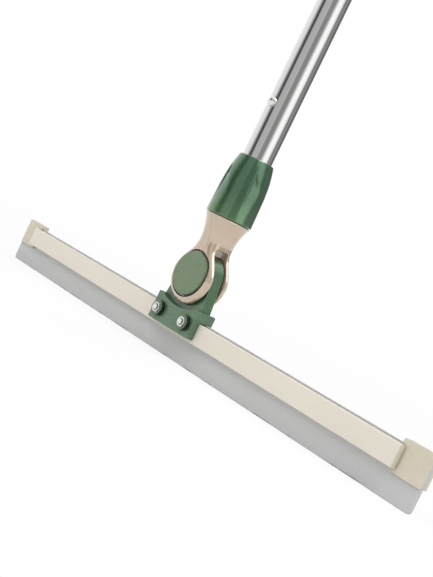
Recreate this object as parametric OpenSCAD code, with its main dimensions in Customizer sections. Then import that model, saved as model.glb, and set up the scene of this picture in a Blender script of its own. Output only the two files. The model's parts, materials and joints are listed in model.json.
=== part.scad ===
// Squeegee mop with a swivelling head on a tube handle.
// The wiping edge lies at z = 0, X runs along the head, -Y is the front and the tube stands along Z.

/* [Head] */
// Width that the head wipes, which is the length of the blade
head_l = 550; // [350:10:900]
// Thickness of the silicone blade
blade_t = 3; // [2:0.5:5]
// Height of the blade that shows below the bar
blade_drop = 20.4; // [12:0.2:40]
// Height of the blade's upper edge above the bars
blade_rise = 1.2; // [0.4:0.1:2]
// Radius of the lower corners of the blade
blade_corner = 3; // [1:0.5:8]
// Height of the front bar and of the clamp bar behind the blade
bar_h = 16.7; // [16:0.1:30]
// Depth of the hollow front bar
bar_t = 6.6; // [5:0.2:10]
// Wall of the hollow front bar
bar_wall = 1.2; // [0.8:0.1:1.8]
// Thickness of the clamp bar behind the blade
clamp_t = 3.5; // [2:0.5:6]
// Radius of the long edges of both bars
bar_edge = 0.8; // [0.3:0.1:1.2]

/* [End caps] */
// Length of an end cap along the head
cap_l = 26.5; // [18:0.5:40]
// Length over which an end cap overlaps the end of the bar
cap_lap = 3.5; // [2:0.5:8]
// Height by which an end cap stands out below the bar
cap_rim = 2.7; // [1:0.1:5]
// Height by which an end cap stands out above the bar
cap_rise = 4.6; // [2.4:0.1:6]
// Radius of the upper and lower corners of an end cap
cap_corner = 1; // [0.4:0.1:2]
// Wall of an end cap in front of the blade
cap_front_t = 1.8; // [1.4:0.1:2.6]
// Wall of an end cap behind the blade
cap_back_t = 3.2; // [2:0.1:5]
// Radius of the outer front edge of an end cap
cap_round = 2.6; // [1:0.1:3]
// Length of the tongue of an end cap inside the front bar
tongue_l = 14; // [6:1:30]
// Thickness of the flange that closes the end of the front bar
flange_t = 0.8; // [0.5:0.1:2]

/* [Swivel bracket] */
// Width of the bracket along the bar
bracket_w = 56; // [54:1:90]
// Thickness of the bracket's plate in front of the bar
plate_t = 6.5; // [5:0.5:9]
// Height of the bar that shows under the bracket's plate
plate_lift = 2.3; // [1:0.1:4]
// Height of the bracket's shoulders above the bar
shoulder_h = 9.2; // [8:0.1:10]
// Height left above the bar in the dip between the shoulders
dip_h = 4.1; // [3.4:0.1:4.5]
// Width of the dip between the shoulders
dip_w = 47; // [44:1:50]
// Radius of the outer corners of the bracket
bracket_corner = 1.8; // [1:0.2:2]
// Thickness of the lug between the ears
lug_t = 10.4; // [8:0.2:14]
// Radius of the rounded top of the lug
lug_r = 21; // [18:0.5:22]
// Width by which each side of the lug spreads down to the shoulders
lug_spread = 4; // [2:0.1:4.6]

/* [Head bolts] */
// Distance between the two bolts that hold the head together
bolt_pitch = 35.8; // [32:0.2:38]
// Distance of the bolts below the top of the bar
bolt_drop = 4.3; // [3.5:0.1:6]
// Diameter of these bolts
bolt_d = 5; // [4:0.5:5]
// Radius of the raised round bosses on the plate
boss_r = 6.3; // [6:0.1:7]
// Height of the bosses in front of the plate
boss_h = 3.4; // [2:0.1:5]
// Width of a nut across its flats
nut_flats = 8; // [7:0.5:9]
// Thickness of a nut
nut_t = 4; // [3:0.1:5]
// Height of a nut that stands out of the hexagonal pocket in its boss
nut_proud = 1.1; // [0.2:0.1:2]
// Length of the bolt's end in front of its nut
bolt_end = 1.1; // [0.4:0.1:3]
// Radius of the round head of a bolt, behind the clamp bar
bolt_head_r = 4.7; // [4.2:0.1:5.5]
// Height of the round head of a bolt
bolt_head_h = 2.7; // [2:0.1:4]
// Thickness of the washers under the heads of the bolts
washer_t = 1; // [0.5:0.1:1.5]

/* [Pivot] */
// Height of the pivot above the top of the bar
hinge_rise = 32.9; // [32.5:0.1:42]
// Diameter of the pivot bolt
pivot_d = 5; // [4:0.5:6]
// Outer diameter of the metal bush in the lug
bush_d = 8; // [7.5:0.5:10]
// Thickness of each friction disc
disc_t = 1.8; // [1.2:0.1:2]
// Radius of the friction discs
disc_r = 17.5; // [12:0.5:18]
// Thickness of the washers under the pivot bolt's head and nut
pivot_washer_t = 0.5; // [0.4:0.1:0.7]
// Outer radius of these washers
pivot_washer_r = 6; // [5:0.1:8]
// Outer radius of the spring washer
spring_washer_r = 4.7; // [4.2:0.1:5]
// Width of the cut through the spring washer
spring_cut = 0.8; // [0.4:0.1:1.5]
// Thickness of the spring washer under the pivot bolt's nut
spring_washer_t = 0.4; // [0.3:0.1:0.5]
// Radius of the pivot bolt's low head
pivot_head_r = 4.75; // [4.5:0.05:5.5]
// Width of the pivot bolt's nut across its flats
pivot_nut_flats = 8; // [7.5:0.5:9]
// Thickness of the pivot bolt's low head and of its thin nut
pivot_head_t = 2.4; // [1.8:0.1:2.6]

/* [Fork] */
// Radius of the ears
ear_r = 25.5; // [24.5:0.5:26.5]
// Half of the depth of the fork over its ears
ear_out = 12; // [11.6:0.1:12.6]
// Radius of the rounded edges of the ears
ear_edge = 6.5; // [3:0.5:7]
// Thickness of an ear behind its cap, where the pivot bolt bears
ear_floor = 1.5; // [1.2:0.1:1.8]
// Height of the slot between the ears above the pivot
slot_rise = 26.5; // [24:0.5:27]
// Width of the fork at its waist
waist_w = 23; // [22:0.2:30]
// Height of the waist above the pivot
waist_rise = 29; // [28:0.5:34]
// Height of the fork above the pivot, up to the collar
neck_h = 51.2; // [46:0.2:70]
// Radius of the fork under the collar
root_r = 19.2; // [18.6:0.1:19.5]

/* [Pivot caps] */
// Radius of the round caps on the ears
pivot_cap_r = 19.7; // [15:0.1:19.8]
// Height by which a cap stands proud of its ear
pivot_cap_proud = 1.4; // [1:0.1:2]
// Depth of the recess in the ear that a cap sits in
pivot_cap_sunk = 2.2; // [1.5:0.1:2.6]
// Gap between a cap and the wall of its recess
pivot_cap_gap = 0.5; // [0.2:0.1:0.7]
// Rim of a cap that is bevelled, measured along its face
pivot_cap_edge = 0.5; // [0.2:0.1:0.8]

/* [Handle] */
// Outer diameter of the tube
tube_d = 25; // [24:0.5:25]
// Wall of the tube
tube_wall = 0.8; // [0.6:0.1:1.2]
// Length of the tube
tube_l = 1085; // [500:5:1500]
// Length of the hand grip
grip_l = 145; // [90:5:250]
// Outer diameter of the hand grip
grip_d = 33; // [29:0.5:36]
// Width of a groove in the hand grip
groove_w = 4; // [2:0.5:6]
// Number of grooves in the hand grip
groove_count = 9; // [1:1:9]
// Radius of the hole that the mop hangs by
hang_r = 5; // [3:0.5:6]
// Thickness of the tab around the hole
tab_t = 10; // [6:1:14]
// Radius of the tab around the hole
tab_r = 12; // [10:0.5:13]
// Length of the end plug inside the tube
plug_l = 22; // [10:1:40]
// Thickness of the end plug's flange on the end of the tube
plug_flange = 6; // [4:0.5:10]
// Length of the hand grip before its first groove and past its last one
grip_margin = 15; // [8:1:20]

/* [Locking collar] */
// Gap between the fork and the collar
collar_gap = 0.8; // [0.2:0.1:2]
// Depth of the step in the fork that this gap shows
step_in = 0.8; // [0.4:0.1:2]
// Height of the collar
collar_h = 53; // [50:0.5:60]
// Radius of the collar at its lower end
collar_r = 19.6; // [19.5:0.1:21]
// Radius of the collar where its round top begins
collar_mid_r = 18.8; // [18.2:0.1:19.2]
// Radius of the collar at its upper end
collar_top_r = 14.4; // [13.6:0.1:15.4]
// Height at which the collar's round top begins
collar_turn = 22; // [18:0.5:25]
// Number of flutes around the collar
flute_count = 4; // [3:1:6]
// Radius of the round bottom of a flute
flute_r = 24; // [16:1:30]
// Depth of a flute at its lower end
flute_depth = 2; // [1:0.1:2.2]
// Height at which the flutes reach their full depth
flute_foot = 11; // [10:0.5:14]
// Height of the pointed tips of the flutes
flute_tip = 42; // [36:0.5:46]
// Direction of the first flute, in degrees from +X
flute_turn = -3; // [-45:0.5:45]

/* [Tube lock] */
// Height of the snap button above the lower edge of the collar
button_rise = 100; // [80:1:160]
// Radius of the snap button
button_r = 4.15; // [3:0.05:4.6]
// Height of the button in front of the tube
button_proud = 3.7; // [2:0.1:3.7]
// Radius of the threaded root of the fork inside the collar
thread_r = 15.5; // [15.2:0.1:15.8]
// Height of the threaded root
thread_h = 19; // [14:0.5:20]
// Depth of the tube in the threaded root
socket_h = 13; // [6:0.5:13]
// Length of the split collet that grips the tube
collet_l = 22; // [16:1:24]
// Width of the slits in the collet
slit_w = 1.6; // [0.8:0.2:3]
// Wall of the hollow spigot inside the tube
spigot_wall = 3; // [2:0.1:3.2]
// Length of the spigot above the button
spigot_past = 18; // [12:1:40]
// Thickness of the leaf spring behind the button
leaf_t = 0.6; // [0.4:0.1:0.8]
// Width of the leaf spring
leaf_w = 8; // [5:0.5:8]
// Length of the legs of the leaf spring below the button
leaf_l = 42; // [25:1:60]

/* [Clearances] */
// Gap around a bolt or screw in its hole
bolt_gap = 0.2; // [0.1:0.05:0.3]
// Radial gap of the pivot bolt in its bush
run_gap = 0.05; // [0.02:0.01:0.08]
// Gap between parts that are pushed into each other and stay
seat_gap = 0.05; // [0.02:0.01:0.1]
// Gap between parts that turn or slide against each other
slide_gap = 0.15; // [0.1:0.05:0.2]

/* [Hidden] */
$fn = 72;

// Depths along Y, from the bracket's plate at the front to the clamp bar at the back
bar_y0 = -bar_t / 2;
bar_y1 = bar_t / 2;
blade_y1 = bar_y1 + blade_t;
clamp_y1 = blade_y1 + clamp_t;
plate_y0 = bar_y0 - plate_t;
boss_y0 = plate_y0 - boss_h;
nut_y0 = boss_y0 - nut_proud;
cap_y0 = bar_y1 - cap_front_t;
cap_y1 = blade_y1 + cap_back_t;

// Heights of the head
bar_z0 = blade_drop;
bar_z1 = bar_z0 + bar_h;
blade_z1 = bar_z1 + blade_rise;
bolt_z = bar_z1 - bolt_drop;
hinge_z = bar_z1 + hinge_rise;
shoulder_z = bar_z1 + shoulder_h;
dip_z = bar_z1 + dip_h;
dip_sag = shoulder_h - dip_h;
dip_r = (pow(dip_w / 2, 2) + pow(dip_sag, 2)) / (2 * dip_sag);

// Places along X
cap_x0 = head_l / 2 - cap_l;
flange_x1 = cap_x0 + cap_lap;
bar_x1 = flange_x1 - flange_t;
screw_x = (flange_x1 + head_l / 2) / 2;
bolt_x = bolt_pitch / 2;
bolt_r = bolt_d / 2;
bolt_bevel = 0.5;
nut_bevel = 0.5;
socket_flats = 3;
socket_depth = 1.6;
washer_rim = 0.4;

// Screws of the end caps
screw_r = 1.4;
screw_head_r = 2.8;
screw_head_h = 1.9;
screw_tip = 0.7;
screw_room = 0.3;
screw_z = bar_z1 - bar_h / 2;

// The pivot, outwards from its middle
ear_in = lug_t / 2 + disc_t;
well_y = ear_in + ear_floor;
recess_y = ear_out - pivot_cap_sunk;
pivot_cap_y1 = ear_out + pivot_cap_proud;
pivot_cap_wall = 1;
well_r = 11;
pivot_r = pivot_d / 2;
bush_r = bush_d / 2;
washer_y = well_y + pivot_washer_t;
nut_seat_y = washer_y + spring_washer_t;

// Loft of the fork: power of its flare, facets of a corner and of its height, and what keeps it a solid
flare_power = 1.9;
corner_steps = 8;
neck_steps = 24;
loft_flat = 0.3;
loft_inset = 0.02;

// The handle, upwards from the top of the fork
root_z = hinge_z + neck_h;
collar_z0 = root_z + collar_gap;
thread_z1 = root_z + thread_h;
tube_z0 = thread_z1 - socket_h;
tube_z1 = tube_z0 + tube_l;
tube_r = tube_d / 2;
tube_in = tube_r - tube_wall;
spigot_r = tube_in - seat_gap;
bore_r = spigot_r - spigot_wall;
bore_floor = 3;
button_flange_r = button_r + 1.3;
button_flange_t = 1;
button_dome_h = 2;
button_flange_y = -sqrt(pow(bore_r, 2) - pow(button_flange_r, 2)) + slide_gap;
cone_inset = 3;
cone_low = thread_h + cone_inset;
cone_high = collar_h - cone_inset;
slit_foot = 5;
button_z = collar_z0 + button_rise;
spigot_z1 = button_z + spigot_past;
grip_z0 = tube_z1 - grip_l;
grip_round = 2;
plug_round = 3;
tab_sunk = 1;

// Radius of an arc that starts level and drops by a height over a length
function arc_r(rise, drop) = (rise * rise + drop * drop) / (2 * drop);

// Rounded rectangle from its lower left corner
module rounded_rect(w, h, r) {
    translate([r, 0]) square([w - 2 * r, h]);
    translate([0, r]) square([w, h - 2 * r]);
    for (x = [r, w - r])
        for (y = [r, h - r])
            translate([x, y]) circle(r);
}

// Outline in X and Z, extruded from y0 to y1
module along_y(y0, y1) {
    translate([0, y1, 0]) rotate([90, 0, 0]) linear_extrude(y1 - y0) children();
}

// Outline in Y and Z, extruded from x0 to x1
module along_x(x0, x1) {
    translate([x0, 0, 0]) rotate([90, 0, 90]) linear_extrude(x1 - x0) children();
}

// Outline in X and Y, extruded from z0 to z1
module along_z(z0, z1) {
    translate([0, 0, z0]) linear_extrude(z1 - z0) children();
}

// Round rod along Y at the place x, z
module rod_y(r, y0, y1, x = 0, z = 0) {
    translate([x, y0, z]) rotate([-90, 0, 0]) cylinder(r = r, h = y1 - y0);
}

// Round ring along Y about the pivot
module pivot_ring(r_out, r_in, y0, y1) {
    difference() {
        rod_y(r_out, y0, y1, 0, hinge_z);
        rod_y(r_in, y0 - 1, y1 + 1, 0, hinge_z);
    }
}

// The same at both sides of the head, or at both bolts
module both_sides(x) {
    for (side = [-1, 1])
        translate([side * x, 0, 0]) children();
}

// Blade with its bolt and screw holes
module wiper_blade() {
    color("#b4b4b4")
        difference() {
            along_y(bar_y1, blade_y1) {
                translate([-head_l / 2, 0])
                    rounded_rect(head_l, blade_z1 - blade_corner, blade_corner);
                translate([-head_l / 2, blade_z1 - 3 * blade_corner])
                    square([head_l, 3 * blade_corner]);
            }
            both_sides(bolt_x) rod_y(bolt_r + bolt_gap, bar_y1 - 1, blade_y1 + 1, 0, bolt_z);
            both_sides(screw_x) rod_y(screw_r + bolt_gap, bar_y1 - 1, blade_y1 + 1, 0, screw_z);
        }
}

// Section of a bar in Y and Z
module bar_section(y0, y1) {
    translate([y0, bar_z0]) rounded_rect(y1 - y0, bar_h, bar_edge);
}

// Room inside the hollow front bar
module bar_hollow(inset) {
    translate([bar_y0 + bar_wall + inset, bar_z0 + bar_wall + inset])
        square([bar_t - 2 * (bar_wall + inset), bar_h - 2 * (bar_wall + inset)]);
}

module front_bar() {
    color("#dedacd")
        difference() {
            along_x(-bar_x1, bar_x1) bar_section(bar_y0, bar_y1);
            along_x(-bar_x1 - 1, bar_x1 + 1) bar_hollow(0);
            both_sides(bolt_x) rod_y(bolt_r + bolt_gap, bar_y0 - 1, bar_y1 + 1, 0, bolt_z);
        }
}

module rear_clamp_bar() {
    color("#dedacd")
        difference() {
            along_x(-cap_x0, cap_x0) bar_section(blade_y1, clamp_y1);
            both_sides(bolt_x) rod_y(bolt_r + bolt_gap, blade_y1 - 1, clamp_y1 + 1, 0, bolt_z);
        }
}

// Body of an end cap, its outer front edge rounded
module end_cap_body() {
    cap_z0 = bar_z0 - cap_rim;
    cap_h = bar_h + cap_rim + cap_rise;
    intersection() {
        along_z(cap_z0, cap_z0 + cap_h) {
            translate([cap_x0, cap_y0]) square([cap_l - cap_round, cap_y1 - cap_y0]);
            translate([cap_x0, cap_y0 + cap_round]) square([cap_l, cap_y1 - cap_y0 - cap_round]);
            translate([cap_x0 + cap_l - cap_round, cap_y0 + cap_round]) circle(cap_round);
        }
        along_y(cap_y0 - 1, cap_y1 + 1) translate([cap_x0, cap_z0]) rounded_rect(cap_l, cap_h, cap_corner);
    }
}

// End cap at +X, with a slot for the blade, a pocket for the bar and a tongue inside the bar
module end_cap() {
    color("#c9c2b2")
        difference() {
            union() {
                end_cap_body();
                along_x(flange_x1 - flange_t, flange_x1) bar_section(bar_y0, bar_y1);
                along_x(flange_x1 - flange_t - tongue_l, flange_x1) bar_hollow(slide_gap);
            }
            difference() {
                along_x(cap_x0 - 1, bar_x1)
                    translate([bar_y0 - 1, bar_z0 - seat_gap])
                        square([bar_t + 1, bar_h + 2 * seat_gap]);
                along_x(cap_x0 - 2 - tongue_l, flange_x1) bar_hollow(slide_gap);
            }
            along_x(cap_x0 - 1, head_l / 2 + 1)
                translate([bar_y1, 0])
                    square([blade_t, blade_z1 + slide_gap]);
            rod_y(screw_r + seat_gap, bar_y1 - screw_tip - screw_room, cap_y1 + 1, screw_x, screw_z);
        }
}

module end_cap_right() {
    end_cap();
}

module end_cap_left() {
    mirror([1, 0, 0]) end_cap();
}

module end_cap_screws() {
    color("#b9bcbf")
        both_sides(screw_x) {
            rod_y(screw_r, bar_y1 - screw_tip, cap_y1 + 1, 0, screw_z);
            rod_y(screw_head_r, cap_y1, cap_y1 + screw_head_h, 0, screw_z);
        }
}

// Outline of the bracket's shoulders with the dip for the ears between them
module shoulder_outline() {
    difference() {
        translate([-bracket_w / 2, bar_z1 - 2 * bracket_corner])
            rounded_rect(bracket_w, shoulder_h + 2 * bracket_corner, bracket_corner);
        translate([0, dip_z + dip_r]) circle(dip_r, $fn = 180);
    }
}

// Outline of the plate in front of the bar
module plate_outline() {
    translate([-bracket_w / 2, bar_z0 + plate_lift])
        rounded_rect(bracket_w, bar_h - plate_lift + shoulder_h / 2, bracket_corner);
}

// Outline of the lug: round about the pivot, with sides that lean out to its foot on the shoulders
module lug_outline() {
    foot_x = lug_r + lug_spread;
    foot_drop = hinge_z - shoulder_z;
    touch = acos(lug_r / norm([foot_x, foot_drop])) - atan(foot_drop / foot_x);
    touch_x = lug_r * cos(touch);
    touch_z = hinge_z + lug_r * sin(touch);
    translate([0, hinge_z]) circle(lug_r, $fn = 120);
    polygon([
        [touch_x, touch_z], [foot_x, shoulder_z], [foot_x, dip_z],
        [-foot_x, dip_z], [-foot_x, shoulder_z], [-touch_x, touch_z]
    ]);
}

// Depth of the bracket, its upright edges rounded at the front and the back
module bracket_depth_outline() {
    translate([-bracket_w / 2, plate_y0])
        rounded_rect(bracket_w, clamp_y1 - plate_y0, bracket_corner / 2);
}

module swivel_bracket() {
    color("#5f8a68")
        difference() {
            union() {
                intersection() {
                    along_y(plate_y0, clamp_y1) shoulder_outline();
                    along_z(bar_z0, shoulder_z + 1) bracket_depth_outline();
                }
                intersection() {
                    along_y(plate_y0, bar_y0)
                        difference() {
                            plate_outline();
                            translate([0, dip_z + dip_r]) circle(dip_r, $fn = 180);
                        }
                    along_z(bar_z0, shoulder_z + 1) bracket_depth_outline();
                }
                along_y(-lug_t / 2, lug_t / 2) lug_outline();
                both_sides(bolt_x) rod_y(boss_r, boss_y0, plate_y0 + 1, 0, bolt_z);
            }
            along_x(-bracket_w, bracket_w)
                translate([bar_y0, bar_z0]) square([clamp_y1 - bar_y0 + 1, bar_h]);
            along_x(-bracket_w, bracket_w)
                translate([bar_y1, bar_z0]) square([blade_t, blade_z1 + slide_gap - bar_z0]);
            rod_y(bush_r + seat_gap, -lug_t, lug_t, 0, hinge_z);
            both_sides(bolt_x) {
                rod_y(bolt_r + bolt_gap, boss_y0 - 1, bar_y0 + 1, 0, bolt_z);
                translate([0, nut_y0 + nut_t, bolt_z]) rotate([90, 0, 0])
                    cylinder(d = nut_flats / cos(30) + 2 * seat_gap, h = nut_t + 1, $fn = 6);
            }
        }
}

module clamp_nuts() {
    color("#d9dadb")
        both_sides(bolt_x)
            difference() {
                intersection() {
                    translate([0, nut_y0 + nut_t, bolt_z]) rotate([90, 0, 0])
                        cylinder(d = nut_flats / cos(30), h = nut_t, $fn = 6);
                    translate([0, nut_y0 + nut_t, bolt_z]) rotate([90, 0, 0])
                        rotate_extrude() {
                            square([nut_flats / 2, nut_t]);
                            square([nut_flats / 2 / cos(30), nut_t - nut_bevel]);
                        }
                }
                rod_y(bolt_r + seat_gap, nut_y0 - 1, nut_y0 + nut_t + 1, 0, bolt_z);
            }
}

module clamp_bolts() {
    color("#c4c6c8")
        both_sides(bolt_x)
            difference() {
                union() {
                    rod_y(bolt_r, nut_y0 - bolt_end + bolt_bevel, clamp_y1 + washer_t + 1, 0, bolt_z);
                    rod_y(bolt_r - bolt_bevel, nut_y0 - bolt_end, nut_y0, 0, bolt_z);
                    translate([0, clamp_y1 + washer_t, bolt_z]) rotate([-90, 0, 0])
                        rotate_extrude() button_head_profile();
                }
                translate([0, clamp_y1 + washer_t + bolt_head_h, bolt_z]) rotate([90, 0, 0])
                    cylinder(d = socket_flats / cos(30), h = socket_depth, $fn = 6);
            }
}

// Half section of a low round bolt head
module button_head_profile() {
    dome_r = arc_r(bolt_head_r, bolt_head_h);
    intersection() {
        square([bolt_head_r, bolt_head_h]);
        translate([0, bolt_head_h - dome_r]) circle(dome_r, $fn = 120);
    }
}

module clamp_washers() {
    color("#c4c6c8")
        both_sides(bolt_x)
            difference() {
                rod_y(bolt_head_r + washer_rim, clamp_y1, clamp_y1 + washer_t, 0, bolt_z);
                rod_y(bolt_r + bolt_gap, clamp_y1 - 1, clamp_y1 + washer_t + 1, 0, bolt_z);
            }
}

module hinge_bush() {
    color("#b59a5b") pivot_ring(bush_r, pivot_r + run_gap, -lug_t / 2, lug_t / 2);
}

module friction_discs() {
    color("#3a3a38") {
        pivot_ring(disc_r, bush_r + bolt_gap, lug_t / 2, ear_in);
        pivot_ring(disc_r, bush_r + bolt_gap, -ear_in, -lug_t / 2);
    }
}

module hinge_washers() {
    color("#c4c6c8") {
        pivot_ring(pivot_washer_r, pivot_r + bolt_gap, well_y, washer_y);
        pivot_ring(pivot_washer_r, pivot_r + bolt_gap, -washer_y, -well_y);
    }
}

module spring_washer() {
    color("#a9abad")
        difference() {
            pivot_ring(spring_washer_r, pivot_r + bolt_gap, washer_y, nut_seat_y);
            translate([0, washer_y - 1, hinge_z - spring_cut / 2])
                cube([2 * spring_washer_r, spring_washer_t + 2, spring_cut]);
        }
}

module hinge_bolt() {
    color("#c4c6c8") {
        rod_y(pivot_r, -washer_y - 1, nut_seat_y + pivot_head_t, 0, hinge_z);
        rod_y(pivot_head_r, -washer_y - pivot_head_t, -washer_y, 0, hinge_z);
    }
}

module hinge_nut() {
    color("#c4c6c8")
        difference() {
            translate([0, nut_seat_y, hinge_z]) rotate([-90, 0, 0])
                cylinder(d = pivot_nut_flats / cos(30), h = pivot_head_t, $fn = 6);
            rod_y(pivot_r + seat_gap, nut_seat_y - 1, nut_seat_y + pivot_head_t + 1, 0, hinge_z);
        }
}

// Round cap for the near ear, hollow over the pivot bolt
module hinge_cap() {
    color("#7d8f73")
        translate([0, 0, hinge_z]) rotate([90, 0, 0])
            rotate_extrude($fn = 120)
                difference() {
                    polygon([
                        [0, recess_y], [pivot_cap_r, recess_y],
                        [pivot_cap_r, pivot_cap_y1 - pivot_cap_edge],
                        [pivot_cap_r - pivot_cap_edge, pivot_cap_y1], [0, pivot_cap_y1]
                    ]);
                    translate([-1, recess_y - 1])
                        square([well_r + 1, pivot_cap_y1 - pivot_cap_wall - recess_y + 1]);
                }
}

module hinge_cap_front() {
    hinge_cap();
}

module hinge_cap_rear() {
    mirror([0, 1, 0]) hinge_cap();
}

// Half width of the fork at a height above the pivot: a wave down to the waist, then a flare
function fork_w(h) =
    h < waist_rise
        ? waist_w / 2 + (ear_r - waist_w / 2) * (1 + cos(180 * h / waist_rise)) / 2
        : waist_w / 2 + (root_r - waist_w / 2) * fork_flare(h);

// Share of the flare from the waist to the root
function fork_flare(h) = pow(max(0, h - waist_rise) / (neck_h - waist_rise), flare_power);

// Half depth and edge radius of the fork at a height above the pivot
function fork_d(h) = ear_out + (root_r - ear_out) * fork_flare(h);
function fork_edge(h) = ear_edge + (root_r - ear_edge) * fork_flare(h);

// Stretch of the edge radius across the width, where the fork's side slopes
function fork_lean(h) =
    h < waist_rise ? sqrt(1 + pow((fork_w(h + 0.01) - fork_w(max(0, h - 0.01))) / 0.02, 2)) : 1;

// Closed ring of points around the fork at a height, corner by corner
function fork_ring(h) = [
    for (corner = [0:3])
        for (step = [0:corner_steps])
            let (
                turn = 90 * corner + 90 * step / corner_steps,
                across = corner == 0 || corner == 3 ? 1 : -1,
                back = corner < 2 ? 1 : -1,
                edge_x = min(fork_w(h) - loft_flat, fork_edge(h) * fork_lean(h)),
                edge_y = min(fork_d(h) - loft_flat, fork_edge(h))
            )
            [
                across * (fork_w(h) - loft_inset - edge_x) + edge_x * cos(turn),
                back * (fork_d(h) - loft_inset - edge_y) + edge_y * sin(turn),
                h
            ]
];

// Loft of the fork from the pivot to the collar
module fork_neck() {
    rings = [for (k = [0:neck_steps]) fork_ring(neck_h * k / neck_steps)];
    count = len(rings[0]);
    points = [for (ring = rings) each ring];
    sides = [
        for (k = [0:neck_steps - 1])
            for (i = [0:count - 1])
                let (a = k * count + i, b = k * count + (i + 1) % count)
                each [[a, a + count, b], [b, a + count, b + count]]
    ];
    foot = [[for (i = [0:count - 1]) i]];
    top = [[for (i = [0:count - 1]) neck_steps * count + count - 1 - i]];
    translate([0, 0, hinge_z]) polyhedron(points, concat(sides, foot, top));
}

// Round lower half of the fork about the pivot, with rounded edges
module fork_ears() {
    intersection() {
        translate([0, 0, hinge_z]) rotate([-90, 0, 0])
            rotate_extrude($fn = 120)
                intersection() {
                    translate([-ear_r, -ear_out]) rounded_rect(2 * ear_r, 2 * ear_out, ear_edge);
                    translate([0, -ear_out]) square([ear_r, 2 * ear_out]);
                }
        translate([-2 * ear_r, -2 * ear_out, hinge_z - 2 * ear_r])
            cube([4 * ear_r, 4 * ear_out, 2 * ear_r]);
    }
}

// Room for one cap and the pivot bolt's end in the ear at +Y
module ear_recess() {
    rod_y(pivot_cap_r + pivot_cap_gap, recess_y, ear_out + 1, 0, hinge_z);
    rod_y(well_r, well_y, ear_out, 0, hinge_z);
}

module fork() {
    color("#d9c3a8")
        difference() {
            union() {
                fork_neck();
                fork_ears();
                translate([0, 0, root_z]) cylinder(r = root_r - step_in, h = collar_gap - slide_gap);
                translate([0, 0, root_z]) cylinder(r = thread_r, h = thread_h);
                translate([0, 0, root_z]) cylinder(r = spigot_r, h = spigot_z1 - root_z);
            }
            translate([-2 * ear_r, -ear_in, hinge_z - 2 * ear_r])
                cube([4 * ear_r, 2 * ear_in, 2 * ear_r + slot_rise]);
            ear_recess();
            mirror([0, 1, 0]) ear_recess();
            rod_y(pivot_r + bolt_gap, -2 * ear_out, 2 * ear_out, 0, hinge_z);
            difference() {
                translate([0, 0, tube_z0]) cylinder(r = tube_r + seat_gap, h = socket_h + 1);
                translate([0, 0, tube_z0 - 1]) cylinder(r = spigot_r, h = socket_h + 3);
            }
            translate([0, 0, root_z + bore_floor]) cylinder(r = bore_r, h = spigot_z1);
            rod_y(button_r + slide_gap, -tube_r, 0, 0, button_z);
        }
}

// Outside of the collar: a slim cone up to the turn and a round top above it
module collar_profile() {
    top_r = arc_r(collar_h - collar_turn, collar_mid_r - collar_top_r);
    polygon([[0, 0], [collar_r, 0], [collar_r, 1], [collar_mid_r, collar_turn], [0, collar_turn]]);
    intersection() {
        translate([0, collar_turn]) square([collar_r, collar_h - collar_turn]);
        translate([collar_mid_r - top_r, collar_turn]) circle(top_r, $fn = 720);
    }
}

// Leaning rod with a ball end that cuts one flute, deepest at its foot and running out at its tip
module flute_cut() {
    foot_in = collar_r - flute_depth;
    top_r = arc_r(collar_h - collar_turn, collar_mid_r - collar_top_r);
    tip_in = collar_mid_r - top_r + sqrt(pow(top_r, 2) - pow(flute_tip - collar_turn, 2));
    lean = atan((foot_in - tip_in) / (flute_tip - flute_foot));
    translate([foot_in, 0, flute_foot]) rotate([0, -lean, 0]) translate([flute_r, 0, 0]) {
        cylinder(r = flute_r, h = collar_h);
        sphere(flute_r);
    }
}

module locking_collar() {
    color("#3f7350")
        translate([0, 0, collar_z0])
            difference() {
                rotate_extrude($fn = 120) collar_profile();
                for (k = [0:flute_count - 1])
                    rotate([0, 0, flute_turn + 360 * k / flute_count]) flute_cut();
                rotate_extrude($fn = 120)
                    polygon([
                        [0, -1], [thread_r + slide_gap, -1], [thread_r + slide_gap, cone_low],
                        [tube_r + slide_gap, cone_high], [tube_r + slide_gap, collar_h + 1], [0, collar_h + 1]
                    ]);
            }
}

// Split sleeve around the tube, coned like the inside of the collar
module collet() {
    grip_z = collar_z0 + cone_low;
    lip_z = collar_z0 + cone_high;
    fall = (thread_r - tube_r) / (lip_z - grip_z);
    top_z = min(thread_z1 + collet_l, lip_z - cone_inset);
    cone_top_r = thread_r - fall * (top_z - grip_z) - seat_gap;
    color("#e6e4dc")
        difference() {
            rotate_extrude($fn = 96)
                polygon([
                    [tube_r + seat_gap, thread_z1], [thread_r - seat_gap, thread_z1],
                    [thread_r - seat_gap, grip_z], [cone_top_r, top_z], [tube_r + seat_gap, top_z]
                ]);
            for (turn = [0:90:270])
                rotate([0, 0, turn + 45])
                    translate([0, -slit_w / 2, thread_z1 + (turn == 0 ? -1 : slit_foot)])
                        cube([2 * tube_r, slit_w, collet_l + 2]);
        }
}

module handle_tube() {
    color("#a7a5a4")
        difference() {
            translate([0, 0, tube_z0]) cylinder(r = tube_r, h = tube_l, $fn = 96);
            translate([0, 0, tube_z0 - 1]) cylinder(r = tube_in, h = tube_l + 2, $fn = 96);
            rod_y(button_r + slide_gap, -2 * tube_r, 0, 0, button_z);
        }
}

// Button with a domed tip and a flange that stays behind the wall of the spigot
module snap_button() {
    pin_l = button_flange_y + tube_r + button_proud;
    dome_r = arc_r(button_r, button_dome_h);
    color("#c9cacb")
        translate([0, button_flange_y, button_z]) rotate([90, 0, 0]) {
            rotate_extrude() {
                square([button_r, pin_l - button_dome_h]);
                intersection() {
                    square([button_r, pin_l]);
                    translate([0, pin_l - dome_r]) circle(dome_r, $fn = 120);
                    translate([0, pin_l - 2 * button_dome_h]) square(2 * button_r);
                }
            }
            translate([0, 0, -button_flange_t]) cylinder(r = button_flange_r, h = button_flange_t);
        }
}

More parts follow.
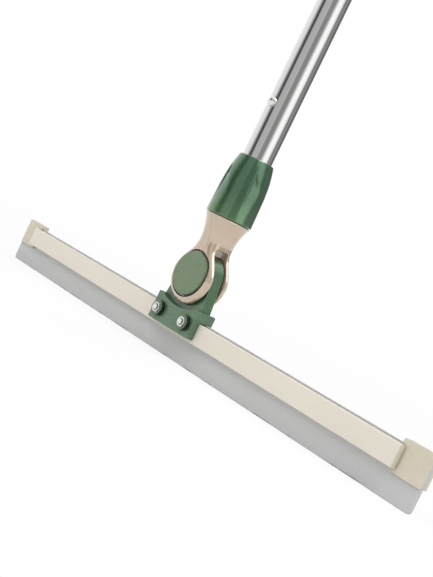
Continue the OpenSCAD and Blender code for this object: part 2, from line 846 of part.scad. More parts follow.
// Leg of the leaf spring in Y and Z, leaning from the bend out to a wall
module leaf_leg(foot_y, wall_y, foot_z, wall_z, top_z) {
    polygon([
        [wall_y, top_z], [wall_y, wall_z], [foot_y, foot_z], [foot_y + leaf_t, foot_z],
        [wall_y + leaf_t, wall_z], [wall_y + leaf_t, top_z]
    ]);
}

// Bent strip between the button's flange and the far wall of the spigot
module button_spring() {
    near_y = button_flange_y + button_flange_t;
    far_y = sqrt(pow(bore_r, 2) - pow(leaf_w / 2, 2)) - slide_gap;
    bend_r = 2.4;
    bend_z = button_z - leaf_l;
    wall_z = button_z - button_r;
    top_z = button_z + button_r;
    color("#9fa3a6") {
        along_x(-leaf_w / 2, leaf_w / 2) leaf_leg(-bend_r, near_y, bend_z, wall_z, top_z);
        along_x(-leaf_w / 2, leaf_w / 2)
            leaf_leg(bend_r - leaf_t, far_y - leaf_t, bend_z, wall_z, top_z);
        difference() {
            translate([-leaf_w / 2, 0, bend_z]) rotate([0, 90, 0]) cylinder(r = bend_r, h = leaf_w);
            translate([-leaf_w, 0, bend_z]) rotate([0, 90, 0])
                cylinder(r = bend_r - leaf_t, h = 2 * leaf_w);
            translate([-leaf_w, -2 * bend_r, bend_z + leaf_t / 2]) cube([2 * leaf_w, 4 * bend_r, bend_r]);
        }
    }
}

// Sleeve with round grooves
module hand_grip() {
    grip_r = grip_d / 2;
    pitch = (grip_l - 2 * grip_margin) / groove_count;
    color("#3f7350")
        difference() {
            translate([0, 0, grip_z0])
                rotate_extrude($fn = 96)
                    difference() {
                        intersection() {
                            translate([-grip_r, 0]) rounded_rect(2 * grip_r, grip_l, grip_round);
                            square([grip_r, grip_l]);
                        }
                        for (k = [0:groove_count - 1])
                            translate([grip_r + groove_w / 4, grip_margin + pitch * (k + 0.5)])
                                circle(groove_w / 2, $fn = 32);
                    }
            translate([0, 0, grip_z0 - 1]) cylinder(r = tube_r + seat_gap, h = grip_l + 2, $fn = 96);
        }
}

// Plug of the tube with a flange and the tab that the mop hangs by
module grip_end() {
    hole_z = tube_z1 + plug_flange + tab_r - tab_sunk;
    color("#d9c3a8")
        difference() {
            union() {
                translate([0, 0, tube_z1 - plug_l]) cylinder(r = tube_in - seat_gap, h = plug_l + 1);
                translate([0, 0, tube_z1])
                    rotate_extrude($fn = 96)
                        intersection() {
                            translate([-grip_d / 2, -plug_flange])
                                rounded_rect(grip_d, 2 * plug_flange, plug_round);
                            square([grip_d / 2, plug_flange]);
                        }
                along_y(-tab_t / 2, tab_t / 2) {
                    translate([0, hole_z]) circle(tab_r);
                    translate([-tab_r, tube_z1 + 1]) square([2 * tab_r, hole_z - tube_z1 - 1]);
                }
            }
            rod_y(hang_r, -tab_t, tab_t, 0, hole_z);
        }
}

handle_tube();
hand_grip();
grip_end();
snap_button();
button_spring();
locking_collar();
collet();
fork();
hinge_cap_front();
hinge_cap_rear();
hinge_bolt();
hinge_nut();
hinge_washers();
spring_washer();
friction_discs();
swivel_bracket();
hinge_bush();
front_bar();
rear_clamp_bar();
wiper_blade();
end_cap_left();
end_cap_right();
end_cap_screws();
clamp_bolts();
clamp_nuts();
clamp_washers();
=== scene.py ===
"""Looks of the squeegee mop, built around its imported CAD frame.

Metres, +Z up, with the wiping edge on the floor and the front at -Y.
"""

import json
import math

import bmesh
import bpy
from mathutils import Matrix, Vector


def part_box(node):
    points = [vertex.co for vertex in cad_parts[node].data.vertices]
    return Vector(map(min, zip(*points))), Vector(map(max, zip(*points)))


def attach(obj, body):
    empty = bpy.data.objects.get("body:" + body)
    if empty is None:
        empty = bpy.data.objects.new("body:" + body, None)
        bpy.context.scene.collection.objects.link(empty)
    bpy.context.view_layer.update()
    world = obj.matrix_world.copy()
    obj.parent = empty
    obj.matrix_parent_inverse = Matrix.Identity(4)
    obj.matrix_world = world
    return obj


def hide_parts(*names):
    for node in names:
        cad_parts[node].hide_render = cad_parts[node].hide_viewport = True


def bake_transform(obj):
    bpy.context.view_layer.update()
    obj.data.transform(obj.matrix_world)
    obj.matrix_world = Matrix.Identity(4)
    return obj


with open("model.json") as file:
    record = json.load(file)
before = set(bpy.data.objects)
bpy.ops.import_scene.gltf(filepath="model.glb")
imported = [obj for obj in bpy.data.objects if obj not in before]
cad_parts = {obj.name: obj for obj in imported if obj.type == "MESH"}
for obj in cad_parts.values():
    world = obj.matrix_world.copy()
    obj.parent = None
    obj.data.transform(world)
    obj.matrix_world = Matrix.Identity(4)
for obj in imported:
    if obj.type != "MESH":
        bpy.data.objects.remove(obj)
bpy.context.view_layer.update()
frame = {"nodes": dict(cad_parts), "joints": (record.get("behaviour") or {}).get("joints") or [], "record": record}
MM = 0.001


# Places and sizes, from the frame

SWIVEL = next(j for j in frame["joints"] if j["name"] == "head_swivel")
HINGE = Vector(SWIVEL["pos_m"])
BLADE_LOW, BLADE_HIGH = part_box("wiper_blade")
GRIP_LOW, GRIP_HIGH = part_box("hand_grip")
WASHERS_LOW, WASHERS_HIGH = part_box("clamp_washers")
BOLT_X = WASHERS_HIGH.x - (WASHERS_HIGH.z - WASHERS_LOW.z) / 2
BOLT_Z = (WASHERS_LOW.z + WASHERS_HIGH.z) / 2
COLLAR_LOW, COLLAR_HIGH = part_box("locking_collar")
COLLAR_GAP = 0.8 * MM
NECK_TOP = COLLAR_LOW.z - COLLAR_GAP
TUBE_LOW, TUBE_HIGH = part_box("handle_tube")
TUBE_R = (TUBE_HIGH.x - TUBE_LOW.x) / 2


# Small helpers

def srgb(red, green, blue):
    """Linear colour of an sRGB triple given as 0 to 255."""
    def linear(value):
        share = value / 255
        return share / 12.92 if share <= 0.04045 else ((share + 0.055) / 1.055) ** 2.4
    return (linear(red), linear(green), linear(blue))


def grey(level):
    return (level, level, level)


def mesh_object(name, mesh):
    made = bpy.data.objects.new(name, mesh)
    bpy.context.scene.collection.objects.link(made)
    return made


def object_from_bmesh(name, build):
    mesh = bpy.data.meshes.new(name)
    build.to_mesh(mesh)
    build.free()
    return mesh_object(name, mesh)


def smooth(share):
    """The share held between 0 and 1, with soft ends."""
    share = min(max(share, 0.0), 1.0)
    return share * share * (3 - 2 * share)


def smooth_faces(faces):
    for face in faces:
        face.smooth = True


def bare_tree(owner):
    """The node tree of a new material or world, emptied."""
    owner.use_nodes = True
    owner.node_tree.nodes.clear()
    return owner.node_tree


def paint(piece, material):
    piece.data.materials.clear()
    piece.data.materials.append(material)


# Camera, fitted to the photograph's edges

CAMERA_AZIMUTH = math.radians(49.285)
CAMERA_ELEVATION = math.radians(2.033)
CAMERA_ROLL = math.radians(25.886)
CAMERA_DISTANCE = 880.848 * MM
AIM_FROM_HINGE = Vector((23.585, 0, -1.612)) * MM
FOCAL_PIXELS = 1087.19
LONG_SIDE_PIXELS = 577
SENSOR = 36


def camera_axes():
    """Right, up and backward of the camera in the frame, and where it stands."""
    across = math.cos(CAMERA_ELEVATION)
    back_from_hinge = Vector((
        math.sin(CAMERA_AZIMUTH) * across,
        -math.cos(CAMERA_AZIMUTH) * across,
        math.sin(CAMERA_ELEVATION),
    ))
    place = HINGE + back_from_hinge * CAMERA_DISTANCE
    forward = (HINGE + AIM_FROM_HINGE - place).normalized()
    level = forward.cross(Vector((0, 0, 1))).normalized()
    upright = level.cross(forward)
    right = math.cos(CAMERA_ROLL) * level + math.sin(CAMERA_ROLL) * upright
    up = -math.sin(CAMERA_ROLL) * level + math.cos(CAMERA_ROLL) * upright
    return right, up, -forward, place


def make_camera():
    right, up, back, place = camera_axes()
    data = bpy.data.cameras.new("camera")
    data.sensor_width = SENSOR
    data.lens = FOCAL_PIXELS / LONG_SIDE_PIXELS * SENSOR
    data.clip_start = 0.01
    data.clip_end = 50
    camera = bpy.data.objects.new("camera", data)
    bpy.context.scene.collection.objects.link(camera)
    turn = Matrix((right, up, back)).transposed()
    camera.matrix_world = Matrix.Translation(place) @ turn.to_4x4()
    bpy.context.scene.camera = camera


# Shader helpers

RANGE_SOCKETS = ("From Min", "From Max", "To Min", "To Max")

# The values at which patches, gloss, painted shade and edges of wear and highlight begin and end
PATCH_SPAN = (0.35, 0.7)
GLOSS_SPAN = (0.3, 0.7)
CREVICE_SPAN = (0.15, 0.85)
TURN_SPAN = (0.98, 0.8)


class Surface:
    """A Principled material that grows by named steps. Places are the object's own, in metres."""

    def __init__(self, name, colour, roughness, metallic=0.0, **sockets):
        self.material = bpy.data.materials.new(name)
        self.material.use_nodes = True
        self.tree = self.material.node_tree
        self.shader = self.tree.nodes["Principled BSDF"]
        self.shader.inputs["Base Color"].default_value = (*colour, 1)
        self.shader.inputs["Roughness"].default_value = roughness
        self.shader.inputs["Metallic"].default_value = metallic
        for socket, value in sockets.items():
            label = socket.replace("_", " ").title().replace("Ior", "IOR")
            self.shader.inputs[label].default_value = value
        self.colour = colour
        self.roughness = roughness
        self.paint = None
        self.place = self.node("ShaderNodeTexCoord").outputs["Object"]

    # Nodes and sums

    def node(self, kind, **settings):
        made = self.tree.nodes.new(kind)
        for key, value in settings.items():
            setattr(made, key, value)
        return made

    def join(self, source, target):
        self.tree.links.new(source, target)

    def node_from(self, source, kind, **settings):
        """A new node with the source in its first socket."""
        made = self.node(kind, **settings)
        self.join(source, made.inputs[0])
        return made

    def axis(self, letter):
        """One coordinate of the place."""
        return self.node_from(self.place, "ShaderNodeSeparateXYZ").outputs[letter]

    def magnitude(self, value):
        """The value without its sign."""
        return self.node_from(value, "ShaderNodeMath", operation="ABSOLUTE").outputs["Value"]

    def span(self, value, low, high, out_low, out_high):
        """The value, taken from low..high to out_low..out_high."""
        made = self.node("ShaderNodeMapRange")
        for socket, number in zip(RANGE_SOCKETS, (low, high, out_low, out_high)):
            made.inputs[socket].default_value = number
        self.join(value, made.inputs["Value"])
        return made.outputs["Result"]

    def product(self, *shares):
        result = shares[0]
        for share in shares[1:]:
            both = self.node_from(result, "ShaderNodeMath", operation="MULTIPLY")
            self.join(share, both.inputs[1])
            result = both.outputs["Value"]
        return result

    def noise(self, size, stretch=(1, 1, 1), detail=3.0):
        """Noise with blotches about that many metres across, stretched by the given factors."""
        mapping = self.node("ShaderNodeMapping")
        mapping.inputs["Scale"].default_value = [1 / (size * s) for s in stretch]
        self.join(self.place, mapping.inputs["Vector"])
        noise = self.node("ShaderNodeTexNoise")
        noise.inputs["Scale"].default_value = 1
        noise.inputs["Detail"].default_value = detail
        noise.inputs["Roughness"].default_value = 0.5
        self.join(mapping.outputs["Vector"], noise.inputs["Vector"])
        return noise.outputs["Fac"]

    def ring(self, centre, inner, outer, soft):
        """Share that is 1 between two radii about the line along Y through the centre, else 0."""
        maths = "ShaderNodeVectorMath"
        offset = self.node_from(self.place, maths, operation="SUBTRACT")
        offset.inputs[1].default_value = centre
        flat = self.node_from(offset.outputs["Vector"], maths, operation="MULTIPLY")
        flat.inputs[1].default_value = (1, 0, 1)
        radius = self.node_from(flat.outputs["Vector"], maths, operation="LENGTH").outputs["Value"]
        return self.product(
            self.span(radius, inner - soft, inner, 0, 1),
            self.span(radius, outer, outer + soft, 1, 0),
        )

    # Colour

    def blend(self, share, other):
        """Mixes another colour into the paint by share, a socket from 0 to 1."""
        mix = self.node("ShaderNodeMix", data_type="RGBA")
        self.join(share, mix.inputs["Factor"])
        if self.paint is None:
            mix.inputs["A"].default_value = (*self.colour, 1)
        else:
            self.join(self.paint, mix.inputs["A"])
        mix.inputs["B"].default_value = (*other, 1)
        self.paint = mix.outputs["Result"]
        self.join(self.paint, self.shader.inputs["Base Color"])
        return self

    def mottle(self, size, other, strength, stretch=(1, 1, 1)):
        """Soft patches of another colour."""
        return self.blend(self.span(self.noise(size, stretch), *PATCH_SPAN, 0, strength), other)

    def crevice_shade(self, reach, darkest, shade_colour=(0.02, 0.02, 0.018)):
        """Painted shade: darkens corners and gaps that lie within reach of another surface."""
        occlusion = self.node("ShaderNodeAmbientOcclusion", samples=8)
        occlusion.inputs["Distance"].default_value = reach
        return self.blend(self.span(occlusion.outputs["AO"], *CREVICE_SPAN, darkest, 0), shade_colour)

    def neck_shade_line(self, top, bottom, drift, half_width, strength, shade_colour):
        """Painted shade: a fine dark line down the front, from x = 0 at the top to x = drift below."""
        lean = self.node_from(self.axis("Z"), "ShaderNodeMath", operation="MULTIPLY_ADD")
        lean.inputs[1].default_value = drift / (top - bottom)
        lean.inputs[2].default_value = -top * drift / (top - bottom)
        offset = self.node_from(self.axis("X"), "ShaderNodeMath", operation="ADD")
        self.join(lean.outputs["Value"], offset.inputs[1])
        away = self.magnitude(offset.outputs["Value"])
        front_only = self.span(self.axis("Y"), *NECK_SHADE_FRONT, 1, 0)
        lower_end = self.span(self.axis("Z"), bottom, bottom + NECK_SHADE_LOW_FADE, 0, 1)
        upper_end = self.span(self.axis("Z"), top, top + NECK_SHADE_TOP_FADE, 1, 0)
        line = self.span(away, 0.3 * half_width, half_width, strength, 0)
        return self.blend(self.product(line, front_only, lower_end, upper_end), shade_colour)

    def recess_shade(self, centre, inner, outer, depth, strength, shade_colour):
        """Shade in the gap round a cap: a ring, where it lies beyond depth from the middle."""
        away = self.magnitude(self.axis("Y"))
        outside = self.span(away, depth, depth + CAP_GAP_FADE, 0, strength)
        gap = self.ring(centre, inner, outer, CAP_GAP_SOFT)
        return self.blend(self.product(gap, outside), shade_colour)

    def shade_rings(self, inner, outer, soft, strength, shade_colour):
        """Painted shade in a ring about each of the two head bolts."""
        for x in (-BOLT_X, BOLT_X):
            share = self.span(self.ring((x, 0, BOLT_Z), inner, outer, soft), 0, 1, 0, strength)
            self.blend(share, shade_colour)
        return self

    def edge_wear_and_highlight(self, radius, other, strength):
        """Lighter line along sharp edges, where a rounded normal leaves the face's: wear and painted highlight."""
        bevel = self.node("ShaderNodeBevel", samples=4)
        bevel.inputs["Radius"].default_value = radius
        face = self.node("ShaderNodeNewGeometry")
        maths = "ShaderNodeVectorMath"
        turn = self.node_from(bevel.outputs["Normal"], maths, operation="DOT_PRODUCT")
        self.join(face.outputs["Normal"], turn.inputs[1])
        return self.blend(self.span(turn.outputs["Value"], *TURN_SPAN, 0, strength), other)

    def bulge_wear_and_highlight(self, low, high, other, strength):
        """Lighter bands where a rounded edge bulges, by how pointed the mesh is: wear and painted highlight."""
        face = self.node("ShaderNodeNewGeometry")
        return self.blend(self.span(face.outputs["Pointiness"], low, high, 0, strength), other)

    # Gloss and relief

    def uneven_gloss(self, size, spread, stretch=(1, 1, 1)):
        """Roughness that wanders by spread either way."""
        low, high = max(self.roughness - spread, 0.02), self.roughness + spread
        wander = self.span(self.noise(size, stretch), *GLOSS_SPAN, low, high)
        self.join(wander, self.shader.inputs["Roughness"])
        return self

    def bump(self, size, depth, stretch=(1, 1, 1)):
        """Fine relief of that depth in metres."""
        made = self.node("ShaderNodeBump")
        made.inputs["Strength"].default_value = 1
        made.inputs["Distance"].default_value = depth
        self.join(self.noise(size, stretch, 2.0), made.inputs["Height"])
        self.join(made.outputs["Normal"], self.shader.inputs["Normal"])
        return self


# Materials, one for each slot. A surface's first numbers are its colour, roughness and metallic;
# those of its steps are a size, a second colour and how much of it shows.

# Painted shade along a dark line down the fork's neck: how far down and how far sideways it goes,
# between which places along Y it ends, and over which lengths its ends fade
NECK_SHADE_LENGTH = 29 * MM
NECK_SHADE_DRIFT = 4 * MM
NECK_SHADE_FRONT = (-8 * MM, -6 * MM)
NECK_SHADE_LOW_FADE, NECK_SHADE_TOP_FADE = 4 * MM, 0.5 * MM

# The shaded gap round each cap: its two radii and how soft they are, and where it begins and is
# full from the middle plane
CAP_GAP = (19.0 * MM, 20.1 * MM)
CAP_GAP_SOFT = 0.25 * MM
CAP_GAP_DEPTH, CAP_GAP_FADE = 9 * MM, 0.3 * MM


def steel_tube():
    surface = Surface("drawn_steel", grey(0.68), 0.10, 1.0)
    surface.mottle(60 * MM, (0.63, 0.615, 0.60), 0.6, (1, 1, 4))
    surface.uneven_gloss(1.2 * MM, 0.04, (1, 1, 60))
    return surface.bump(0.5 * MM, 0.004 * MM, (1, 1, 80))


def bright_steel():
    surface = Surface("zinc_plate", (0.82, 0.82, 0.80), 0.20, 1.0)
    surface.mottle(3 * MM, (0.68, 0.68, 0.66), 0.5)
    surface.uneven_gloss(0.8 * MM, 0.06)
    # Painted shade: a dark ring round each bolt's end, and shade in corners and gaps
    surface.shade_rings(2.45 * MM, 2.95 * MM, 0.25 * MM, 0.8, (0.06, 0.06, 0.055))
    return surface.crevice_shade(1.2 * MM, 0.8)


def spring_steel():
    surface = Surface("spring_steel", (0.42, 0.43, 0.45), 0.3, 1.0)
    return surface.mottle(4 * MM, (0.30, 0.30, 0.32), 0.6).uneven_gloss(0.7 * MM, 0.08)


def brass():
    surface = Surface("turned_brass", (0.62, 0.43, 0.17), 0.25, 1.0)
    return surface.mottle(3 * MM, (0.45, 0.31, 0.13), 0.5).uneven_gloss(0.5 * MM, 0.06, (1, 12, 1))


def friction_fibre():
    surface = Surface("friction_fibre", grey(0.03), 0.8)
    return surface.mottle(0.8 * MM, grey(0.06), 0.8).bump(0.4 * MM, 0.03 * MM)


def beige_plastic():
    surface = Surface(
        "beige_moulding", srgb(196, 173, 145), 0.20, 0.28,
        coat_weight=1.0, coat_roughness=0.06, coat_ior=2.2,
    )
    surface.mottle(14 * MM, srgb(186, 161, 132), 0.7)
    surface.uneven_gloss(5 * MM, 0.05)
    surface.bump(1.6 * MM, 0.006 * MM)
    # Painted shade: a dark line down the neck, the gap round each cap and the corners; lighter bulging edges of
    # wear and painted highlight
    surface.neck_shade_line(
        NECK_TOP, NECK_TOP - NECK_SHADE_LENGTH, NECK_SHADE_DRIFT, 0.8 * MM, 0.45, srgb(122, 100, 76)
    )
    surface.bulge_wear_and_highlight(0.51, 0.58, srgb(250, 242, 228), 0.9)
    surface.recess_shade(HINGE, *CAP_GAP, CAP_GAP_DEPTH, 0.8, srgb(40, 34, 26))
    return surface.crevice_shade(2.2 * MM, 0.7, srgb(70, 54, 40))


def green_gloss():
    surface = Surface(
        "green_collar_moulding", srgb(72, 112, 82), 0.16, 0.6,
        coat_weight=0.6, coat_roughness=0.05, coat_ior=1.7,
    )
    surface.mottle(10 * MM, srgb(64, 102, 74), 0.7)
    # Painted highlight: the collar paler towards its foot
    foot_highlight = surface.span(surface.axis("Z"), COLLAR_LOW.z, COLLAR_LOW.z + 22 * MM, 0.5, 0)
    surface.blend(foot_highlight, srgb(112, 146, 102))
    surface.uneven_gloss(4 * MM, 0.04)
    surface.bump(1.2 * MM, 0.005 * MM)
    # Painted shade in corners and gaps
    return surface.crevice_shade(2 * MM, 0.8)


def green_bracket():
    surface = Surface(
        "green_bracket_moulding", srgb(88, 120, 90), 0.28, 0.2,
        coat_weight=0.5, coat_roughness=0.10, coat_ior=1.6,
    )
    surface.mottle(9 * MM, srgb(78, 108, 79), 0.7)
    surface.uneven_gloss(3 * MM, 0.06)
    surface.bump(0.9 * MM, 0.01 * MM)
    # Lighter edges of wear and painted highlight; painted shade in the dip under the ears, round the bosses and in
    # gaps
    surface.edge_wear_and_highlight(0.6 * MM, srgb(160, 190, 150), 0.5)
    surface.crevice_shade(9 * MM, 0.6, srgb(20, 32, 16))
    surface.shade_rings(6.15 * MM, 6.45 * MM, 0.15 * MM, 0.93, srgb(12, 20, 10))
    return surface.crevice_shade(2.5 * MM, 0.9, srgb(12, 20, 10))


def sage_cap():
    surface = Surface("sage_cap_moulding", srgb(117, 136, 107), 0.42)
    surface.mottle(8 * MM, srgb(107, 125, 98), 0.6)
    surface.uneven_gloss(2 * MM, 0.06)
    surface.bump(0.5 * MM, 0.012 * MM)
    # Lighter edges of wear and painted highlight; painted shade in gaps
    surface.edge_wear_and_highlight(0.4 * MM, srgb(172, 190, 160), 0.4)
    return surface.crevice_shade(2.5 * MM, 0.85, srgb(20, 28, 16))


def bar_coat():
    surface = Surface("cream_powder_coat", srgb(235, 228, 214), 0.36)
    surface.mottle(40 * MM, srgb(228, 221, 208), 0.8, (3, 1, 1))
    surface.mottle(0.9 * MM, srgb(222, 215, 201), 0.35)
    surface.uneven_gloss(1.5 * MM, 0.07)
    surface.bump(0.7 * MM, 0.02 * MM)
    # Lighter edges of wear and painted highlight; painted shade in gaps
    surface.edge_wear_and_highlight(0.5 * MM, srgb(250, 247, 240), 0.6)
    return surface.crevice_shade(1.6 * MM, 0.8, srgb(80, 70, 56))


def taupe_plastic():
    surface = Surface("taupe_moulding", srgb(216, 208, 190), 0.40)
    surface.mottle(12 * MM, srgb(207, 198, 178), 0.7)
    surface.uneven_gloss(2 * MM, 0.06)
    surface.bump(0.45 * MM, 0.02 * MM)
    # Lighter edges of wear and painted highlight; painted shade in gaps
    surface.edge_wear_and_highlight(0.6 * MM, srgb(232, 227, 216), 0.4)
    return surface.crevice_shade(3 * MM, 0.7, srgb(84, 72, 56))


def silicone():
    surface = Surface("grey_silicone", srgb(204, 204, 204), 0.50)
    surface.mottle(60 * MM, srgb(196, 196, 197), 0.8, (4, 1, 1))
    surface.mottle(0.8 * MM, srgb(182, 182, 182), 0.3)
    surface.uneven_gloss(3 * MM, 0.08, (6, 1, 1))
    surface.bump(0.6 * MM, 0.015 * MM, (8, 1, 1))
    # Painted shade in corners and gaps
    return surface.crevice_shade(1.6 * MM, 0.6, srgb(70, 68, 66))


def grip_rubber():
    surface = Surface("green_grip_rubber", srgb(56, 92, 68), 0.62)
    surface.mottle(14 * MM, srgb(48, 80, 58), 0.7)
    surface.uneven_gloss(2 * MM, 0.08)
    surface.bump(0.5 * MM, 0.05 * MM)
    # Painted shade in corners and gaps
    return surface.crevice_shade(3 * MM, 0.7)


def white_nylon():
    surface = Surface("white_nylon", srgb(232, 230, 222), 0.45)
    return surface.mottle(6 * MM, srgb(220, 217, 207), 0.7).bump(0.5 * MM, 0.012 * MM)


MATERIALS = {
    "steel_tube": steel_tube,
    "bright_steel": bright_steel,
    "spring_steel": spring_steel,
    "bush_brass": brass,
    "friction_fibre": friction_fibre,
    "beige_plastic": beige_plastic,
    "green_gloss": green_gloss,
    "green_bracket": green_bracket,
    "sage_cap": sage_cap,
    "bar_coat": bar_coat,
    "taupe_plastic": taupe_plastic,
    "silicone": silicone,
    "grip_rubber": grip_rubber,
    "white_nylon": white_nylon,
}

# Nodes of each slot
FINISH = {
    "steel_tube": ["handle_tube"],
    "bright_steel": [
        "snap_button", "hinge_bolt", "hinge_nut", "hinge_washers", "end_cap_screws",
        "clamp_bolts", "clamp_nuts", "clamp_washers",
    ],
    "spring_steel": ["button_spring", "spring_washer"],
    "bush_brass": ["hinge_bush"],
    "friction_fibre": ["friction_discs"],
    "beige_plastic": ["fork", "grip_end"],
    "green_gloss": ["locking_collar"],
    "green_bracket": ["swivel_bracket"],
    "sage_cap": ["hinge_cap_front", "hinge_cap_rear"],
    "bar_coat": ["front_bar", "rear_clamp_bar"],
    "taupe_plastic": ["end_cap_left", "end_cap_right"],
    "silicone": ["wiper_blade"],
    "grip_rubber": ["hand_grip"],
    "white_nylon": ["collet"],
}


# Refined copies of rigid nodes: the same solid with its small edges rounded in the mesh

BODIES = frame["record"]["behaviour"]["bodies"]
BODY_OF = {node: body for body, nodes in BODIES.items() for node in nodes}
SHARP_ANGLE = 32
WELD = 0.002 * MM

# Width of the rounded edges on each refined node
ROUNDED = {
    "swivel_bracket": 0.7 * MM,
    "front_bar": 0.35 * MM,
    "rear_clamp_bar": 0.35 * MM,
    "end_cap_left": 0.5 * MM,
    "end_cap_right": 0.5 * MM,
    "hinge_cap_front": 0.35 * MM,
    "hinge_cap_rear": 0.35 * MM,
    "clamp_nuts": 0.2 * MM,
    "clamp_bolts": 0.15 * MM,
}

# The caps are drawn a little smaller than in the CAD, as the photograph shows them
CAP_SHARE = 0.945


def finish_edges(piece, width, sharp=SHARP_ANGLE):
    """Rounds the sharp edges and keeps flat faces flat."""
    rounding = piece.modifiers.new("edges", "BEVEL")
    rounding.width = width
    rounding.segments = 3
    rounding.limit_method = "ANGLE"
    rounding.angle_limit = math.radians(sharp)
    rounding.harden_normals = True
    rounding.use_clamp_overlap = True
    rounding.miter_outer = "MITER_ARC"


def welded(node):
    """A bmesh of a node's solid, with its doubled corners merged."""
    build = bmesh.new()
    build.from_mesh(frame["nodes"][node].data)
    bmesh.ops.remove_doubles(build, verts=build.verts, dist=WELD)
    return build


def refined(node, width):
    """Copy of a node's solid, with its coplanar facets joined and its edges rounded."""
    build = welded(node)
    flat = math.radians(0.3)
    bmesh.ops.dissolve_limit(build, angle_limit=flat, verts=build.verts, edges=build.edges)
    if node.startswith("hinge_cap"):
        narrower = (CAP_SHARE, 1, CAP_SHARE)
        about = Matrix.Translation(-HINGE)
        bmesh.ops.scale(build, vec=narrower, space=about, verts=build.verts)
    smooth_faces(build.faces)
    for edge in build.edges:
        bend = edge.calc_face_angle(0)
        edge.smooth = len(edge.link_faces) == 2 and bend < math.radians(SHARP_ANGLE)
    piece = object_from_bmesh(node + "_finished", build)
    finish_edges(piece, width)
    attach(piece, BODY_OF[node])
    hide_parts(node)
    return piece


# Fork

# How finely the moulding is cast, how often it is softened, and the share of its faces that is kept
CAST_CELL = 0.42 * MM
CAST_PASSES = 8
CAST_KEPT = 0.3

# An ear of the CAD fork: its outer radius, the rounding of its outer edge, its faces and its recess
EAR_R = 25.5 * MM
EAR_EDGE = 6.5 * MM
EAR_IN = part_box("friction_discs")[1].y
EAR_OUT = 12 * MM
CAP_LOW, CAP_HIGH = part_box("hinge_cap_front")
RECESS_R = (CAP_HIGH.x - CAP_LOW.x) / 2 + 0.5 * MM

# The part of the fork that is shaped: radii from the pivot's axis, and height above it
SHAPED_R = (19 * MM, 40 * MM)
SHAPED_TOP = 28 * MM

# The rim of a recess: how far it is drawn in, how far out that is felt, how far it begins below the
# outer face, how far up it goes, and over which lengths it starts and ends
RIM_DRAWN_IN = 0.3 * MM
RIM_REACH = 4 * MM
RIM_DEPTH, RIM_DEPTH_FADE = 2.3 * MM, 1.6 * MM
RIM_TOP, RIM_TOP_FADE = 18 * MM, 10 * MM

# The rounding of an ear's inner edge, larger on the rear ear, whose edge the photograph shows as a
# bright band: how far it goes outwards from the slot, the radius where it begins, and its top
ROUND_NEAR, ROUND_REAR = 0.7 * MM, 2.0 * MM
ROUND_DEPTH = 2.6 * MM
ROUND_FROM, ROUND_FADE = 21 * MM, 4.3 * MM
ROUND_TOP, ROUND_TOP_FADE = 26 * MM, 6 * MM


def ear_surface(radius):
    """Distance of an ear's outer surface from the middle plane, at a radius from the pivot."""
    past_flat = min(max(radius - EAR_R + EAR_EDGE, 0), 0.98 * EAR_EDGE)
    return EAR_OUT - EAR_EDGE + math.sqrt(EAR_EDGE ** 2 - past_flat ** 2)


def left_over(distance, reach):
    """Share that falls from 1 to 0 over the reach, steeply first."""
    return max(0.0, 1 - max(0.0, distance) / reach) ** 2


def shape_ear(place):
    """Moves a point of the fork: draws in a recess's rim and rounds an ear's inner edge."""
    away = Vector((place.x - HINGE.x, 0, place.z - HINGE.z))
    radius, depth, height = away.length, abs(place.y), away.z
    if not SHAPED_R[0] < radius < SHAPED_R[1] or height > SHAPED_TOP:
        return place
    outside = smooth((depth - EAR_OUT + RIM_DEPTH) / RIM_DEPTH_FADE)
    outside *= smooth((RIM_TOP - height) / RIM_TOP_FADE)
    opening = -RIM_DRAWN_IN * outside * left_over(radius - RECESS_R, RIM_REACH)
    inside = left_over(depth - EAR_IN, ROUND_DEPTH) * smooth((ROUND_TOP - height) / ROUND_TOP_FADE)
    rounding = (ROUND_NEAR if place.y < 0 else ROUND_REAR) * inside
    rounding *= smooth((radius - ROUND_FROM) / ROUND_FADE)
    grown = radius + opening - rounding
    fall = ear_surface(radius) - ear_surface(radius + opening)
    return Vector((
        HINGE.x + away.x * grown / radius,
        math.copysign(depth - fall * outside, place.y),
        HINGE.z + away.z * grown / radius,
    ))


def make_fork():
    """The fork as a moulding: its solid with soft edges and rounded ears."""
    fork = object_from_bmesh("moulded_fork", welded("fork"))
    cells = fork.modifiers.new("cells", "REMESH")
    cells.mode = "VOXEL"
    cells.voxel_size = CAST_CELL
    soft = fork.modifiers.new("soft", "SMOOTH")
    soft.factor = 0.5
    soft.iterations = CAST_PASSES
    fewer = fork.modifiers.new("fewer", "DECIMATE")
    fewer.ratio = CAST_KEPT
    final = fork.evaluated_get(bpy.context.evaluated_depsgraph_get())
    cast = bpy.data.meshes.new_from_object(final)
    fork.modifiers.clear()
    fork.data = cast
    for vert in cast.vertices:
        vert.co = shape_ear(vert.co)
    for face in cast.polygons:
        face.use_smooth = True
    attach(fork, "handle")
    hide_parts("fork")
    return fork


# Blade

BLADE_COLUMNS = 160
BLADE_ROWS = 22
BLADE_CROWDING = 1.6  # above 1, the rows crowd towards the lower edge
BLADE_CORNER = 3 * MM
BLADE_RIM = 0.35 * MM
RIM_SHARP_ANGLE = 50

# The waviness of the lower edge: its depth, the share of the height that it takes, how it fades
# out upwards, and its two waves, in radians to the metre, the second one weaker
WAVE = 0.28 * MM
WAVE_SHARE = 0.45
WAVE_FADE = 1.5
WAVE_RATE, SECOND_RATE, SECOND_PHASE = 61, 137, 1.3
SECOND_SHARE = 0.5


def blade_drift(x, z, height):
    """Sideways drift of the blade at a place on it."""
    free = max(0.0, 1 - z / (WAVE_SHARE * height)) ** WAVE_FADE
    second = SECOND_SHARE * math.sin(x * SECOND_RATE + SECOND_PHASE)
    return WAVE * free * (math.sin(x * WAVE_RATE) + second) / (1 + SECOND_SHARE)


def around(grid):
    """The points on the border of a grid, in order."""
    right = [line[-1] for line in grid[1:]]
    left = [line[0] for line in grid[-2:0:-1]]
    return grid[0] + right + grid[-1][-2::-1] + left


